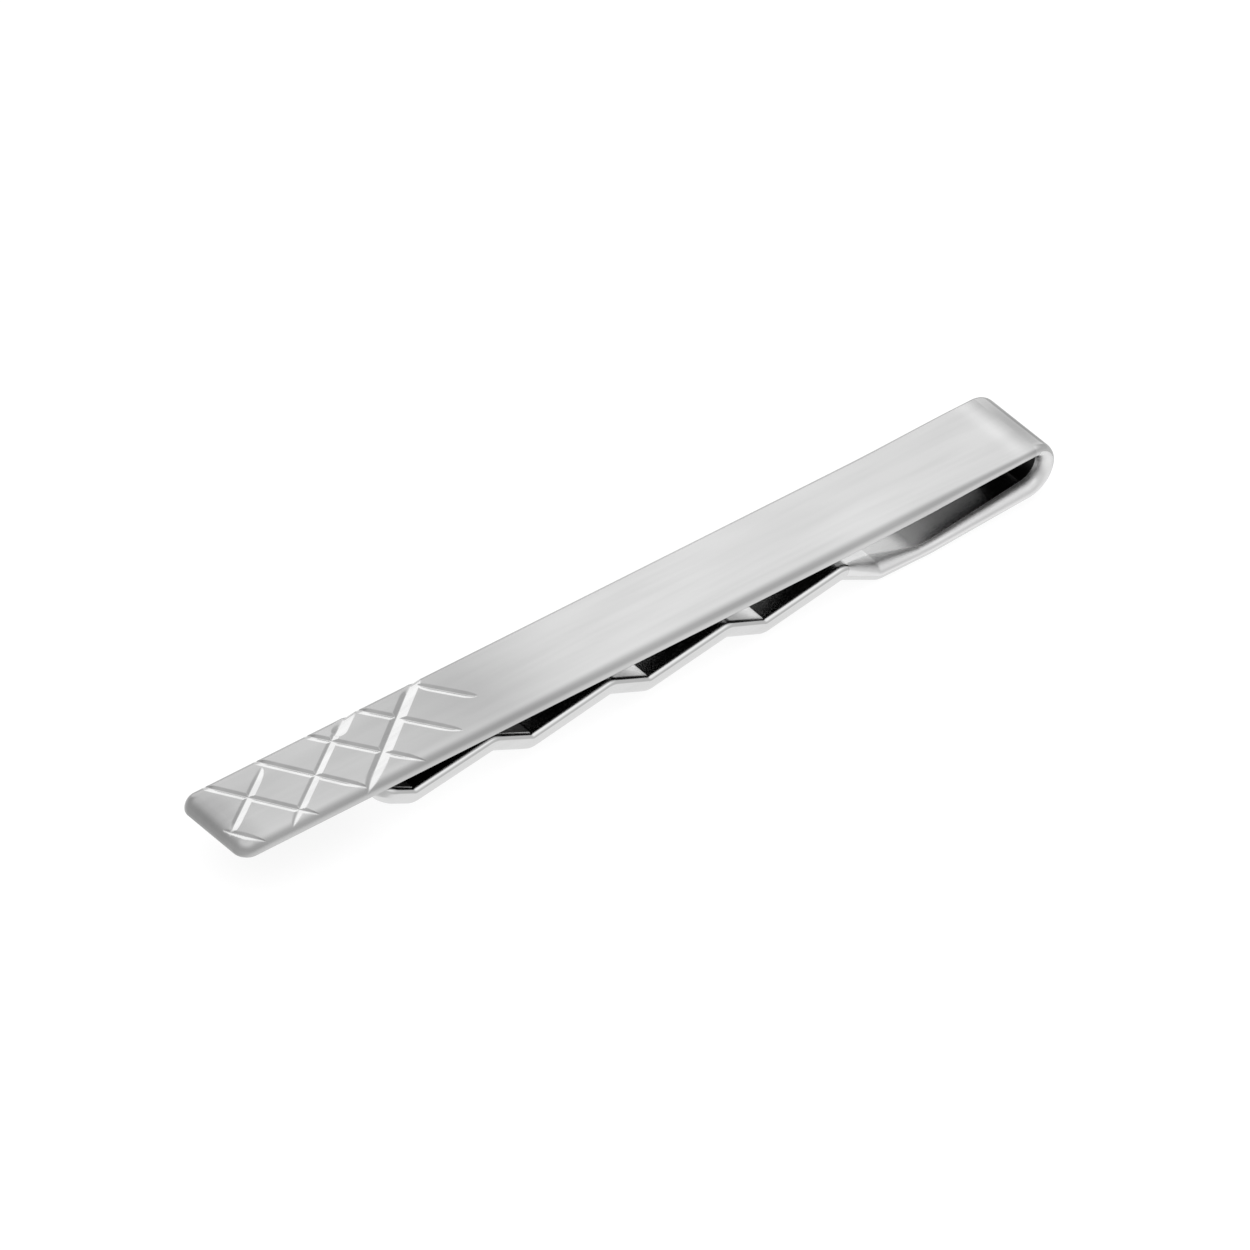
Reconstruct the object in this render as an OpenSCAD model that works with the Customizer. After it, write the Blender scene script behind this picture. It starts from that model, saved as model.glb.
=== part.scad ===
// Tie clip folded from one strip of metal: an engraved front bar, a spring fold and a zigzag leg.
// X runs along the bar from its free end to the fold, -Y is the near edge and +Z is up.
// The origin is on the surface that the clip lies on, under the middle of its box.

/* [Strip] */
// Length from the free end of the bar to the outside of the fold
clip_l = 60; // [50:0.5:80]
// Width of the strip
strip_w = 6.3; // [4:0.1:9]
// Thickness of the strip
strip_t = 1.1; // [1:0.05:1.3]
// Thickness of the strip where it is thinned, in the fold and the loop
fold_t = 0.85; // [0.8:0.05:1]
// Length over which the bar thins towards the fold
thin_l = 8; // [4:0.5:12]
// Radius along the edges of the strip's outer side, which is the face of the bar
outer_edge_r = 0.5; // [0.1:0.05:0.5]
// Radius along the edges of the strip's inner side
inner_edge_r = 0.25; // [0.05:0.05:0.25]

/* [Front bar] */
// Radius of the free end's corners, seen from above
bar_corner_r = 1; // [0.6:0.1:1.8]

/* [Spring fold] */
// Radius of the outside of the fold where it leaves the bar
fold_top_r = 1.5; // [1.4:0.05:1.7]
// Radius of the outside of the fold below that
fold_low_r = 2.15; // [1.9:0.05:2.3]

/* [Grip leg] */
// Widest gap between the bar and the leg, in the loop beside the fold
loop_gap = 2.3; // [1.9:0.05:2.8]
// Distance from the outside of the fold to the lowest point of the loop
loop_back = 9.5; // [8:0.1:11]
// Distance from the outside of the fold to the nearest valley
valley_back = 13.2; // [12.5:0.1:15]
// Distance between one valley of the zigzag and the next
zig_pitch = 8.6; // [7:0.1:9]
// Number of valleys
zig_count = 5; // [2:1:5]
// Angle at which the tip rises from the last valley to the bar
tip_angle = 27; // [20:1:35]
// Gap between the bar and the leg's tip when the clip is closed
tip_gap = 0.04; // [0.02:0.01:0.2]
// Radius inside each bend of the zigzag
bend_inner_r = 0.25; // [0.1:0.05:0.4]
// Radius inside the shallow bend of the loop
loop_inner_r = 10; // [6:1:16]
// Radius of the tip's corners, seen from above
tip_corner_r = 1; // [0.5:0.1:1.8]

/* [Engraving] */
// Distance between the cuts whose far ends lean towards the free end
lean_pitch = 3.13; // [2.5:0.01:4.5]
// Distance between the cuts that cross them
cross_pitch = 2.97; // [2.5:0.01:4.5]
// Angle between the crossing cuts and the bar
cut_angle = 34.5; // [25:0.5:50]
// Distance from the free end to the leaning cut that comes next to it, along the bar's middle
lean_start = 3.1; // [2:0.1:5]
// Distance from the free end to the first crossing cut, along the bar's middle
cross_start = 2.6; // [2:0.1:5]
// Width of a cut at the face
cut_w = 0.65; // [0.2:0.05:0.8]
// Width of the broad cut that closes the pattern
broad_cut_w = 0.9; // [0.3:0.05:1.1]
// Angle between a cut's two walls
cut_v_angle = 140; // [120:5:150]
// Length over which a cut fades out, where it ends on the face
fade_l = 1.5; // [1:0.1:2.5]

/* [Hidden] */
$fn = 96;

// Overrun of a cut past the surface that it starts from
overrun = 0.5;

// Radius along the edges of the bar's thinned underside, and the share of it past the strip's side
thin_edge_r = 1.2 * inner_edge_r;
thin_edge_past_share = 0.1;

// Centres of the fold's two arcs, and the radii of the strip's middle line. Heights in the plane
// of X and Z are counted from the face of the bar, until each piece is lifted by the clip's height.
free_end_x = -clip_l / 2;
bar_z = -strip_t / 2;
fold_top = [clip_l / 2 - fold_top_r, -fold_top_r];
fold_low = [clip_l / 2 - fold_low_r, -fold_top_r];
fold_mid_r = fold_low_r - fold_t / 2;
bend_mid_r = bend_inner_r + strip_t / 2;
loop_mid_r = loop_inner_r + fold_t / 2;

// Share of the loop's gap that is left at each valley and crest, from the fold to the tip
valley_gap_shares = [0.87, 0.73, 0.68, 0.63, 0.47];
crest_gap_shares = [0.26, 0.22, 0.16, 0.065];
// Place of each crest between two valleys, as a share of the pitch from the one nearer to the fold
crest_place_share = 0.32;

// Rings of the leg's skin in each bend and in the rounding of the tip, and points in each edge
bend_steps = 6;
tip_steps = 5;
edge_steps = 4;

// Where each cut starts and ends, as shares of the strip's half width from the near edge to the
// far one. A share past 1 or -1 runs over the edge, and any other cut fades out there.
lean_cut_shares = [[-1.2, 0], [-1.2, 1.2], [-1.2, 1.2], [-1.2, 1.2], [-0.65, 1.2], [-0.15, 0.7]];
cross_cut_shares = [[-0.47, 0.54], [-1.2, 0.76], [-1.2, 0.77]];

function heading(a, b) = atan2(b[1] - a[1], b[0] - a[0]);
function wrapped(angle) = angle > 180 ? angle - 360 : angle < -180 ? angle + 360 : angle;
function along(p, angle, d) = [p[0] + d * cos(angle), p[1] + d * sin(angle)];

// Point of the leg's middle line that leaves a gap under the bar at x, where the leg is t thick
function under_gap(x, gap, t = strip_t) = [x, -strip_t - gap - t / 2];

// The strip leaves the fold on the tangent that runs to the lowest point of the loop
loop_low = under_gap(clip_l / 2 - loop_back, loop_gap, fold_t);
fold_turn = -wrapped(heading(fold_low, loop_low) - asin(fold_mid_r / norm(loop_low - fold_low)));
fold_end = along(fold_low, 90 - fold_turn, fold_mid_r);

// Corners of the leg's middle line, from the end of the fold to the tip
valley_x = clip_l / 2 - valley_back;
zigzag = [
  for (i = [0:2 * zig_count - 2])
    let (k = floor(i / 2), crest = i % 2)
      under_gap(valley_x - (k + crest * crest_place_share) * zig_pitch,
                loop_gap * (crest == 1 ? crest_gap_shares[k] : valley_gap_shares[k]))
];
tip_run = (loop_gap * valley_gap_shares[zig_count - 1] - tip_gap
           + strip_t / 2 * (1 - cos(tip_angle))) / sin(tip_angle);
tip_end = along(zigzag[2 * zig_count - 2], 180 - tip_angle, tip_run);
leg_line = concat([fold_end, loop_low], zigzag, [tip_end]);
last = len(leg_line) - 1;

function leg_heading(i) = heading(leg_line[i - 1], leg_line[i]);
function leg_turn(i) = wrapped(leg_heading(i + 1) - leg_heading(i));
function leg_mid_r(i) = i == 1 ? loop_mid_r : bend_mid_r;
function bend_start(i) =
  along(leg_line[i], leg_heading(i), -leg_mid_r(i) * tan(abs(leg_turn(i)) / 2));
function bend_centre(i) =
  along(bend_start(i), leg_heading(i) + 90 * sign(leg_turn(i)), leg_mid_r(i));

// Height of the clip: the outside of the loop's bend is what it lies on
clip_h = loop_inner_r + fold_t - bend_centre(1)[1];

// Rings along the leg, each with its place and heading, and the strip's width and thickness there
function bend_ring(i, share) =
  let (ring_heading = leg_heading(i) + leg_turn(i) * share)
    [along(bend_centre(i), ring_heading - 90 * sign(leg_turn(i)), leg_mid_r(i)),
     ring_heading, strip_w, i == 1 ? fold_t : strip_t];
function tip_ring(angle) =
  [along(tip_end, leg_heading(last), -tip_corner_r * (1 - sin(angle))),
   leg_heading(last), strip_w - 2 * tip_corner_r * (1 - cos(angle)), strip_t];
leg_rings = concat(
  [[fold_end, leg_heading(1), strip_w, fold_t]],
  [for (i = [1:last - 1], step = [0:bend_steps]) bend_ring(i, step / bend_steps)],
  [for (step = [0:tip_steps]) tip_ring(90 * step / tip_steps)]
);

// Points round the section of a strip of width w and thickness t, from its middle
function section_points(w, t) = [
  for (quarter = [0:3], step = [0:edge_steps])
    let (
      angle = 90 * (quarter + step / edge_steps),
      r = quarter == 0 || quarter == 3 ? outer_edge_r : inner_edge_r,
      outer = quarter == 0 || quarter == 3 ? 1 : -1,
      side = quarter < 2 ? 1 : -1
    )
      [outer * (t / 2 - r) + r * cos(angle), side * (w / 2 - r) + r * sin(angle)]
];
ring_size = 4 * (edge_steps + 1);

// Skin of a strip through rings, with a flat face at each end
module strip_skin(rings) {
  points = [
    for (ring = rings, p = section_points(ring[2], ring[3]))
      [ring[0][0] - p[0] * sin(ring[1]), p[1], ring[0][1] + p[0] * cos(ring[1])]
  ];
  end = len(rings) - 1;
  sides = [
    for (i = [0:end - 1], j = [0:ring_size - 1])
      let (
        k = (j + 1) % ring_size,
        a = i * ring_size + j,
        b = i * ring_size + k,
        c = a + ring_size,
        d = b + ring_size
      )
        each [[a, b, c], [b, d, c]]
  ];
  start_face = [for (j = [ring_size - 1:-1:0]) j];
  end_face = [for (j = [0:ring_size - 1]) end * ring_size + j];
  polyhedron(points, concat(sides, [start_face, end_face]));
}

// Cross-section of a strip of thickness t: x is its thickness, with the outer side at +x
module strip_section(t) {
  translate([inner_edge_r - t / 2, -strip_w / 2])
    square([t - inner_edge_r - outer_edge_r, strip_w]);
  section_side(1, outer_edge_r, t);
  section_side(-1, inner_edge_r, t);
}

// One side of the section, between its two rounded corners
module section_side(outer, r, t) {
  translate([outer * (t - r) / 2, 0])
    square([r, strip_w - 2 * r], center = true);
  for (side = [-1, 1])
    translate([outer * (t / 2 - r), side * (strip_w / 2 - r)])
      circle(r);
}

// The part of the bar's section that lies within a distance of the near edge, moved to x = 0
module edge_section(reach) {
  intersection() {
    rotate(90)
      translate([0, strip_w / 2 - reach])
        strip_section(strip_t);
    translate([0, -strip_t / 2])
      square([reach, strip_t]);
  }
}

// A length along X of a section that has its thickness upright
module strip_run(l) {
  rotate(180, [1, 0, 1])
    linear_extrude(l)
      children();
}

// A straight strip whose rounded edges go on round the free end
module straight_blank() {
  corner_x = free_end_x + bar_corner_r;
  corner_y = strip_w / 2 - bar_corner_r;
  translate([corner_x, 0, bar_z])
    strip_run(fold_top[0] - corner_x)
      strip_section(strip_t);
  translate([corner_x, corner_y, bar_z])
    rotate([90, 0, 0])
      linear_extrude(2 * corner_y)
        mirror([1, 0])
          edge_section(bar_corner_r);
  for (side = [-1, 1])
    translate([corner_x, side * corner_y, bar_z])
      rotate(side > 0 ? 90 : 180)
        rotate_extrude(angle = 90)
          edge_section(bar_corner_r);
}

// All that lies over the sloping underside which thins the bar towards the fold. It is wider than
// the strip above its rounded edges, so that it takes nothing from the sides.
module over_thinned_side() {
  edge_y = strip_w / 2 - (1 - thin_edge_past_share) * thin_edge_r;
  translate([fold_top[0], 0, -fold_t])
    rotate([0, -atan((strip_t - fold_t) / thin_l), 0])
      translate([-clip_l, 0, 0])
        strip_run(2 * clip_l) {
          translate([0, -edge_y])
            square([2 * thin_edge_r, 2 * edge_y]);
          for (side = [-1, 1])
            translate([thin_edge_r, side * edge_y])
              circle(thin_edge_r);
          translate([thin_edge_r, -strip_w])
            square([clip_l, 2 * strip_w]);
        }
}

// A V groove along +X, whose walls go on up past the face
module groove(l, depth) {
  rim = depth + overrun;
  rim_half = rim * tan(cut_v_angle / 2);
  translate([0, 0, -depth])
    rotate([90, 0, 90])
      linear_extrude(l)
        polygon([[0, 0], [rim_half, rim], [-rim_half, rim]]);
}

// One cut in the face, along a line that crosses the bar's middle at x. It is as deep as its
// walls make it, and its bottom rises to the face over the fade where the cut ends on the face.
module face_cut(x, direction, shares, w) {
  depth = w / 2 / tan(cut_v_angle / 2);
  share_l = strip_w / 2 / sin(direction);
  ends = [min(shares * share_l), max(shares * share_l)];
  fades = [for (end = ends) abs(end / share_l) < 1 ? fade_l : 0];
  start = ends[0] + fades[0];
  stop = ends[1] - fades[1];
  translate([x, 0, 0])
    rotate(direction) {
      translate([start, 0, 0])
        groove(stop - start, depth);
      if (fades[0] > 0)
        translate([start, 0, 0])
          rotate(180)
            rising_groove(depth);
      if (fades[1] > 0)
        translate([stop, 0, 0])
          rising_groove(depth);
    }
}

// A groove whose bottom rises from this depth to the face over the fade
module rising_groove(depth) {
  translate([0, 0, -depth])
    rotate([0, -atan(depth / fade_l), 0])
      translate([0, 0, depth])
        groove(2 * fade_l, depth);
}

// The diamond pattern: two rows of parallel cuts that cross, with a broad cut at its end
module engraving() {
  lean_step = lean_pitch / cos(cut_angle);
  cross_step = cross_pitch / sin(cut_angle);
  last_cross = len(cross_cut_shares) - 1;
  for (i = [0:len(lean_cut_shares) - 1])
    face_cut(free_end_x + lean_start + (i - 1) * lean_step, cut_angle - 90,
             lean_cut_shares[i], cut_w);
  for (i = [0:last_cross])
    face_cut(free_end_x + cross_start + i * cross_step, cut_angle,
             cross_cut_shares[i], i == last_cross ? broad_cut_w : cut_w);
}

module front_bar() {
  color("silver")
    translate([0, 0, clip_h])
      difference() {
        intersection() {
          straight_blank();
          over_thinned_side();
        }
        engraving();
      }
}

// An arc of the strip that rises through an angle from the fold's outermost line
module fold_arc(outer_r, turn) {
  rotate([90, 0, 0])
    rotate_extrude(angle = turn)
      translate([outer_r - fold_t / 2, 0])
        strip_section(fold_t);
}

module spring_fold() {
  color("gainsboro")
    translate([0, 0, clip_h]) {
      translate([fold_top[0], 0, fold_top[1]])
        fold_arc(fold_top_r, 90);
      translate([fold_low[0], 0, fold_low[1]])
        mirror([0, 0, 1])
          fold_arc(fold_low_r, fold_turn - 90);
    }
}

module grip_leg() {
  color("gainsboro")
    translate([0, 0, clip_h])
      strip_skin(leg_rings);
}

front_bar();
spring_fold();
grip_leg();
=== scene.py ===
"""Looks of a folded-strip tie clip: an engraved bar, a spring fold and a zigzag leg.

Lengths are in metres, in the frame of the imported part: X along the bar towards the fold, -Y
towards the near edge, Z up, and the origin on the surface that the clip lies on.
"""

import math

import bmesh
import bpy
import numpy as np
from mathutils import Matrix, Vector


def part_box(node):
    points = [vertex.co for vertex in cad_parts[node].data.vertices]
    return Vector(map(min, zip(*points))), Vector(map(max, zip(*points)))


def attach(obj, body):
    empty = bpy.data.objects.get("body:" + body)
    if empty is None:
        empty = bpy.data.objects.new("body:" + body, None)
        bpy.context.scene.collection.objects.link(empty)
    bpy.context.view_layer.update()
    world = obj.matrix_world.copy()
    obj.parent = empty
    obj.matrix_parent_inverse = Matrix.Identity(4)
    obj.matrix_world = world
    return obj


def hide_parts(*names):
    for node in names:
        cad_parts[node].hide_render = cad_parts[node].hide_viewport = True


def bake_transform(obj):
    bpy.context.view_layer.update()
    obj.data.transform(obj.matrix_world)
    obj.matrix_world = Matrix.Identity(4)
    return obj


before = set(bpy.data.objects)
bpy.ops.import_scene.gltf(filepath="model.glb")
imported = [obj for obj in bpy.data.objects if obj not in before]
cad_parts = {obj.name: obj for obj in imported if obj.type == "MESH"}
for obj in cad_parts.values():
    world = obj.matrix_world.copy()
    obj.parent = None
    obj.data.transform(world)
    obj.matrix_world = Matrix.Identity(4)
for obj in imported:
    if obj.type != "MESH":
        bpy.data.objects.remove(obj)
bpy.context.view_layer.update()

bl_info = {
    "name": "Tie clip",
    "version": (1, 0, 0),
    "blender": (4, 5, 0),
    "location": "View3D > Sidebar > Tie clip",
    "description": "Builds the looks of a tie clip folded from one strip of steel",
    "category": "Object",
}

# The bar's face is the highest thing in the part
FACE_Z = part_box("front_bar")[1].z

# Gap under the bar at each valley and crest, from the fold to the tip, as shares of the loop's
VALLEY_SHARES = (0.87, 0.73, 0.68, 0.63, 0.47)
CREST_SHARES = (0.26, 0.22, 0.16, 0.065)
# Place of a crest between two valleys, from the one nearer to the fold, as a share of the pitch
CREST_PLACE_SHARE = 0.32

# The cuts as their graver left them: where each starts and ends, in half widths from the near edge
# to the far one, how far it lies beside its even place, in cut widths, and its turn in degrees. The
# first leaning one is the short one at the corner, a place before the leaning start. The crossing
# ones have their even place's number and their width, as a share of a cut's, in front
LEAN_CUTS = (
    (-1.2, -0.2, 0.26, -3.2), (-1.2, 1.2, 0.26, -2.5), (-1.2, 1.2, 0.15, -2.3),
    (-1.2, 1.2, 0.14, -0.3), (-0.8, 1.2, 0.12, 0.2), (-0.2, 0.76, 0.15, 1.2),
)
CROSS_CUTS = (
    (0, 0.9, -0.56, 0.62, 0.0, 0.7), (1, 0.9, -1.2, 0.7, 0.17, 1.2), (1, 1.5, 0.5, 1.05, 0.2, 1.2),
    (2, 1.38, -1.2, 1.2, 0.13, 3.0),
)

MM = 0.001


def length(name, description, default, low, high):
    """A size in metres that a user can change."""
    return bpy.props.FloatProperty(
        name=name, description=description, default=default, min=low, max=high,
        unit="LENGTH", precision=5,
    )


def linear(code):
    """sRGB hex code as linear red, green, blue and alpha."""
    value = np.array([int(code[i:i + 2], 16) for i in (0, 2, 4)]) / 255
    value = np.where(value <= 0.04045, value / 12.92, ((value + 0.055) / 1.055) ** 2.4)
    return (*value.tolist(), 1.0)


def colour(name, description, code):
    """A colour that a user can change, from its sRGB hex code."""
    return bpy.props.FloatVectorProperty(
        name=name, description=description, default=linear(code)[:3], min=0, max=1,
        subtype="COLOR")


class StripSizes(bpy.types.PropertyGroup):
    """Sizes of the folded strip."""

    width: length("Width", "Width of the strip", 6.3 * MM, 4 * MM, 9 * MM)
    thickness: length("Thickness", "Thickness of the strip", 1.1 * MM, 1 * MM, 1.3 * MM)
    fold_thickness: length(
        "Fold thickness", "Thickness in the fold and the loop", 0.85 * MM, 0.8 * MM, 1 * MM)
    thinning: length("Thinning", "Length over which the bar thins", 8 * MM, 4 * MM, 12 * MM)
    bar_edge: length(
        "Bar edge", "Radius along the edges of the face, by the engraving",
        1 * MM, 0.3 * MM, 1 * MM)
    near_edge: length(
        "Near edge", "Radius along the near edge at the fold", 0.5 * MM, 0.1 * MM, 0.6 * MM)
    far_edge: length(
        "Far edge", "Radius along the far edge at the fold", 0.68 * MM, 0.1 * MM, 0.7 * MM)
    under_edge: length(
        "Under edge", "Radius along the near edge of the bar's underside",
        0.22 * MM, 0.05 * MM, 0.3 * MM)
    fold_under: length(
        "Fold under edge", "Radius along the near inner edge where the fold begins",
        0.45 * MM, 0.05 * MM, 0.5 * MM)
    far_under: length(
        "Far under edge", "Radius along the far edge of the underside",
        0.09 * MM, 0.05 * MM, 0.3 * MM)
    fold_flare: length(
        "Fold flare", "How far across the fold its near inner edge is rounded",
        0.9 * MM, 0.5 * MM, 1.5 * MM)
    loop_flare: length(
        "Loop flare", "How far across the loop's lowest point its near inner edge is rounded",
        0.55 * MM, 0.3 * MM, 1 * MM)
    valley_flare: length(
        "Valley flare", "How far across the first valley its near inner edge is rounded",
        1.4 * MM, 0.5 * MM, 2 * MM)
    flare_drop: length(
        "Flare depth", "How far those roundings reach down the side",
        0.6 * MM, 0.3 * MM, 0.7 * MM)
    leg_edge: length(
        "Leg edge", "Radius along the outer edges of the leg", 0.5 * MM, 0.1 * MM, 0.5 * MM)
    inner_edge: length(
        "Inner edge", "Radius along the inner edges of the leg", 0.3 * MM, 0.05 * MM, 0.3 * MM)
    inner_wide: length(
        "Near inner edge", "How far across the leg its near inner edge is rounded",
        0.45 * MM, 0.1 * MM, 0.5 * MM)
    corner: length("Corner", "Radius of the free end's corners", 1 * MM, 0.6 * MM, 1.8 * MM)
    fold_top: length(
        "Fold top", "Outer radius where the fold leaves the bar", 1.5 * MM, 1.4 * MM, 1.7 * MM)
    fold_low: length("Fold low", "Outer radius below that", 2.15 * MM, 1.9 * MM, 2.3 * MM)
    loop_gap: length("Loop gap", "Widest gap inside the clip", 2.3 * MM, 1.9 * MM, 2.8 * MM)
    loop_back: length(
        "Loop place", "From the fold to the loop's lowest point", 9.5 * MM, 8 * MM, 11 * MM)
    valley_back: length(
        "First valley", "From the fold to the nearest valley", 13.2 * MM, 12.5 * MM, 15 * MM)
    pitch: length("Pitch", "From one valley to the next", 8.6 * MM, 7 * MM, 9 * MM)
    tip_gap: length("Tip gap", "Gap between the bar and the tip", 0.04 * MM, 0.02 * MM, 0.2 * MM)
    tip_corner: length("Tip corner", "Radius of the tip's corners", 1 * MM, 0.5 * MM, 1.8 * MM)
    bend: length("Bend", "Radius inside each bend", 0.25 * MM, 0.1 * MM, 0.4 * MM)
    loop_bend: length("Loop bend", "Radius inside the loop's bend", 10 * MM, 6 * MM, 16 * MM)
    tip_angle: bpy.props.FloatProperty(
        name="Tip angle", description="Rise of the tip from the last valley",
        default=math.radians(27), subtype="ANGLE")


class EngravingSizes(bpy.types.PropertyGroup):
    """Sizes of the cuts in the bar's face."""

    lean_pitch: length("Leaning pitch", "Between leaning cuts", 3.13 * MM, 2.5 * MM, 4.5 * MM)
    cross_pitch: length("Crossing pitch", "Between crossing cuts", 2.97 * MM, 2.5 * MM, 4.5 * MM)
    lean_start: length("Leaning start", "To the leaning cut by the end", 3.1 * MM, 2 * MM, 5 * MM)
    cross_start: length("Crossing start", "To the first crossing cut", 2.6 * MM, 2 * MM, 5 * MM)
    width: length("Cut width", "Width of a cut at the face", 0.65 * MM, 0.2 * MM, 0.8 * MM)
    fade: length("Fade", "Length over which a cut fades out", 1.5 * MM, 1 * MM, 2.5 * MM)
    angle: bpy.props.FloatProperty(
        name="Angle", description="Between the crossing cuts and the bar",
        default=math.radians(34.5), subtype="ANGLE")
    walls: bpy.props.FloatProperty(
        name="Walls", description="Angle between a cut's two walls",
        default=math.radians(140), subtype="ANGLE")


class SteelColours(bpy.types.PropertyGroup):
    """Colours of the strip's finishes."""

    brushed: colour("Brushed", "The bar's face and sides", "E8E8E8")
    # The bright wall's lighter colour is a painted glint, and the torn wall's darker one painted
    # shade
    burnished_glint: colour("Burnished", "The bright wall of each cut", "F2F2F2")
    torn_shade: colour("Torn", "The dark wall of each leaning cut", "A6A6A6")
    # The underside's colour shows in full only in a painted reflection, and elsewhere under painted
    # shade
    painted_underside: colour("Rolled", "The bar's underside", "FAFAFA")
    # The fold's lighter colour is a painted highlight
    fold_highlight: colour("Stretched", "The outside of the fold", "F2F2F2")
    # The wide near inner edge's lighter colour is a painted highlight
    flare_highlight: colour("Hammered", "The wide near inner edge", "FAFAFA")
    polished: colour("Polished", "The leg", "EAEAEA")
    # A dark colour painted as shade inside the fold and the last valleys
    painted_gap_shade: colour("Darkened", "The inside of the fold and of the last valleys", "303030")


class StageSettings(bpy.types.PropertyGroup):
    """Camera and floor of the picture."""

    azimuth: bpy.props.FloatProperty(
        name="Azimuth", description="Camera's angle round the clip, from straight in front",
        default=math.radians(-38.05), subtype="ANGLE")
    elevation: bpy.props.FloatProperty(
        name="Elevation", description="Camera's angle above the floor",
        default=math.radians(40.02), subtype="ANGLE")
    distance: length("Distance", "From the camera to the bar's middle", 1.0, 0.2, 3.0)
    pixels_per_mm: bpy.props.FloatProperty(
        name="Scale", description="Pixels of the picture for each millimetre", default=17.2)
    floor: length("Floor", "Half the width of the floor", 0.6, 0.1, 2.0)


# Shapes


def turned(angle):
    """Unit vectors in the plane of X and Z at these angles from +X."""
    return np.stack([np.cos(angle), np.sin(angle)], -1)


def arc_rings(centre, radius, start, turn, steps):
    """Middle line of a bend: points at a radius from a centre, as the heading turns evenly from
    start by turn. Gives rows of x, z and heading."""
    headings = start + turn * steps
    side = np.sign(turn) * math.pi / 2
    points = np.asarray(centre) + radius * turned(headings - side)
    return np.column_stack([points, headings])


# Columns of a ring that other rings change: the strip's width and thickness, and how far the near
# inner rounding reaches down the side and across
WIDTH, THICKNESS, NEAR_INNER, FLARE = 3, 4, 7, 9


def with_sizes(rows, *sizes):
    """Rings made of rows of x, z and heading, and the same sizes for each: width, thickness, the
    radii of the near outer, far outer, near inner and far inner edges, and how far across the strip
    the near inner edge's rounding reaches."""
    return np.column_stack([rows, np.tile(sizes, (len(rows), 1))])


def smooth(share):
    """Step from 0 to 1 with level ends, for shares of its way."""
    share = np.clip(share, 0, 1)
    return share ** 2 * (3 - 2 * share)


def fold_plan(s):
    """The fold's two arc centres and its whole turn: it ends on the tangent to the loop's lowest
    point."""
    end_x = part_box("spring_fold")[1].x
    top = np.array([end_x - s.fold_top, -s.fold_top])
    low = np.array([end_x - s.fold_low, -s.fold_top])
    mid_r = s.fold_low - s.fold_thickness / 2
    lowest = np.array([end_x - s.loop_back, -s.thickness - s.loop_gap - s.fold_thickness / 2])
    way = lowest - low
    heading = math.atan2(way[1], way[0]) - math.asin(mid_r / np.hypot(*way))
    turn = -heading if heading < 0 else 2 * math.pi - heading
    return top, low, lowest, turn


def fold_sizes(s):
    """Sizes of the strip's section where it leaves the bar."""
    return (s.width, s.fold_thickness, s.near_edge, s.far_edge, s.fold_under, s.far_under,
            s.fold_under)


# Rings in each of the fold's two arcs
FOLD_RINGS = 49


def fold_rings(s):
    """Rings of the fold: a tight quarter turn down from the bar, then a wider arc to the loop. The
    near inner edge flares along the upper arc, and keeps its flare along the lower one."""
    top, low, _, turn = fold_plan(s)
    half = s.fold_thickness / 2
    quarter = math.pi / 2
    steps = np.linspace(0, 1, FOLD_RINGS)
    upper = arc_rings(top, s.fold_top - half, 0, -quarter, steps)
    lower = arc_rings(low, s.fold_low - half, -quarter, quarter - turn, steps[1:])
    rings = with_sizes(np.concatenate([upper, lower]), *fold_sizes(s))
    flared = smooth(np.arange(len(rings)) / len(upper))
    rings[:, NEAR_INNER] += (s.flare_drop - s.fold_under) * flared
    rings[:, FLARE] += (s.fold_flare - s.fold_under) * flared
    return rings


def leg_line(s):
    """Corners of the leg's middle line, from the end of the fold to the tip. A valley or crest lies
    below the bar's underside by its gap and half the leg's thickness, and the last run is as long
    as its rise to the tip's gap needs."""
    end_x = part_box("spring_fold")[1].x
    _, low, lowest, turn = fold_plan(s)
    mid_r = s.fold_low - s.fold_thickness / 2
    start = low + mid_r * turned(math.pi / 2 - turn)
    first = end_x - s.valley_back
    half = s.thickness / 2
    corners = [start, lowest]
    for k, share in enumerate(VALLEY_SHARES):
        gap = share * s.loop_gap
        corners.append([first - k * s.pitch, -s.thickness - gap - half])
        if k < len(CREST_SHARES):
            gap = CREST_SHARES[k] * s.loop_gap
            back = (k + CREST_PLACE_SHARE) * s.pitch
            corners.append([first - back, -s.thickness - gap - half])
    gap = VALLEY_SHARES[-1] * s.loop_gap
    run = (gap - s.tip_gap + half * (1 - math.cos(s.tip_angle))) / math.sin(s.tip_angle)
    corners.append(np.array(corners[-1]) + run * turned(math.pi - s.tip_angle))
    return np.array(corners)


# How far from its end the leg's tip is rounded off in thickness, how much of a full rounding that
# is, and the rings in it
TIP_EDGE = 0.25 * MM
TIP_EDGE_SHARE = 0.6
TIP_RINGS = 17
# Rings in each bend, and the numbers of the bends whose near inner edge is flared, counted from the
# fold, and of the one from which the inner side is painted dark as shade
BEND_RINGS = 17
LOOP, FIRST_VALLEY, DARK_VALLEY = 0, 1, 7
# How far the loop's flare reaches down the side, as a share of how far it reaches across
FLARE_SHARE = 0.7


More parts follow.
